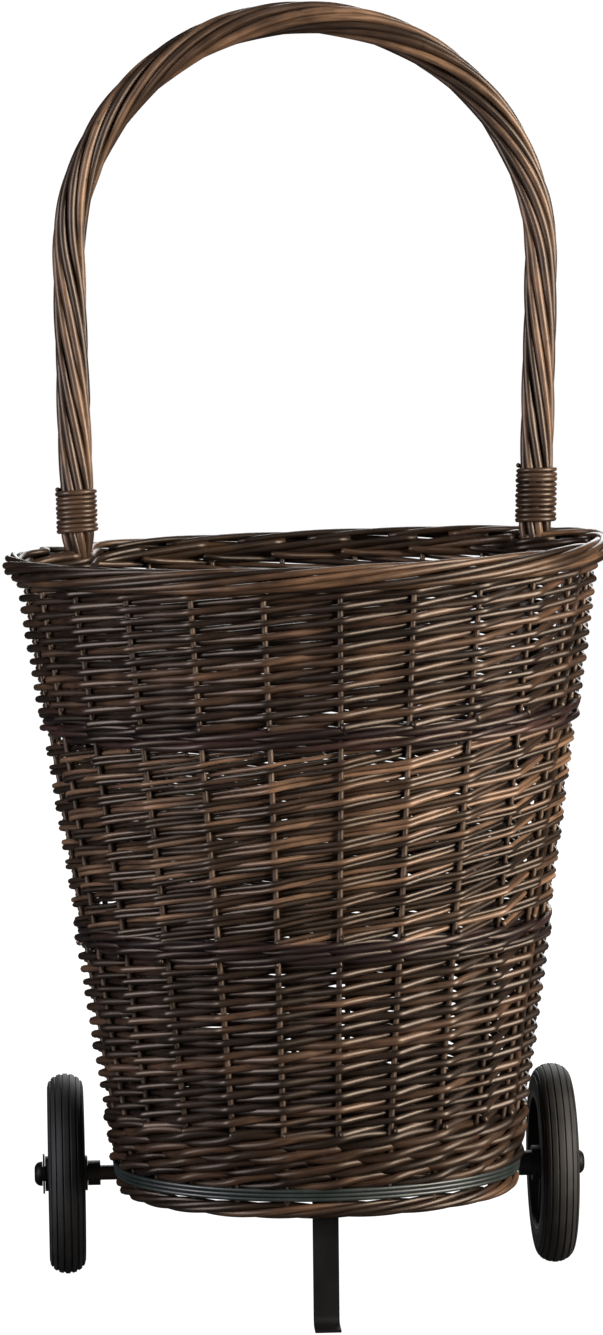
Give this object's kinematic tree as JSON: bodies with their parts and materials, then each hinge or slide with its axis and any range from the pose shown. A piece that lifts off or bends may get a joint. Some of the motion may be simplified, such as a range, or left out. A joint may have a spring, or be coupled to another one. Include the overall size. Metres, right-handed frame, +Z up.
{
  "type": "wheeled log basket",
  "caption": "Oval willow log basket with a tall roped hoop handle, a wheel at each side of its back edge and a bent flat-bar foot in front.",
  "frame": {"origin": "on the ground, under the middle of the overall bounding box", "axes": "+Z up, +X across the front to the right, -Y towards the front with the foot"},
  "size_m": [0.4786, 0.342, 1.0129],
  "materials": {
    "willow_weave": "satin",
    "willow_slewing": "satin",
    "willow_wale": "satin",
    "willow_border": "satin",
    "willow_stakes": "satin",
    "willow_floor": "satin",
    "handle_willow": "satin",
    "collar_willow": "satin",
    "coated_wire": "semi-gloss dark slate coating",
    "black_steel": "satin black powder coat",
    "zinc_steel": "zinc plated",
    "axle_steel": "dark blackened rod",
    "black_plastic": "matt",
    "cap_steel": "satin black",
    "tyre": "matt ribbed rubber",
    "wheel_plastic": "matt",
    "nylon": "smooth"
  },
  "bodies": {
    "cart": {"base_wale": "willow_wale", "lower_wale": "willow_wale", "upper_wale": "willow_wale", "lower_weave": "willow_weave", "middle_weave": "willow_slewing", "upper_weave": "willow_weave", "rim_border": "willow_border", "foot_border": "willow_border", "stakes": "willow_stakes", "base_long_sticks": "willow_stakes", "base_short_sticks": "willow_stakes", "base_weave": "willow_floor", "base_binding_wires": "coated_wire", "handle_core": "handle_willow", "handle_rope": "handle_willow", "left_handle_collar": "collar_willow", "right_handle_collar": "collar_willow", "foot_bar": "black_steel", "axle_hangers": "black_steel", "base_bolts": "zinc_steel", "base_washers": "zinc_steel", "base_nuts": "zinc_steel", "axle": "axle_steel", "axle_spacers": "black_plastic", "axle_washers": "black_steel", "axle_caps": "cap_steel"},
    "left_wheel": {"left_tyre": "tyre", "left_wheel_hub": "wheel_plastic", "left_wheel_bush": "nylon"},
    "right_wheel": {"right_tyre": "tyre", "right_wheel_hub": "wheel_plastic", "right_wheel_bush": "nylon"}
  },
  "joints": [
    {"name": "left_wheel_spin", "type": "hinge", "parent": "cart", "child": "left_wheel", "pos_m": [-0.195, 0.091, 0.08], "axis": [1, 0, 0], "continuous": true},
    {"name": "right_wheel_spin", "type": "hinge", "parent": "cart", "child": "right_wheel", "pos_m": [0.195, 0.091, 0.08], "axis": [1, 0, 0], "continuous": true}
  ]
}
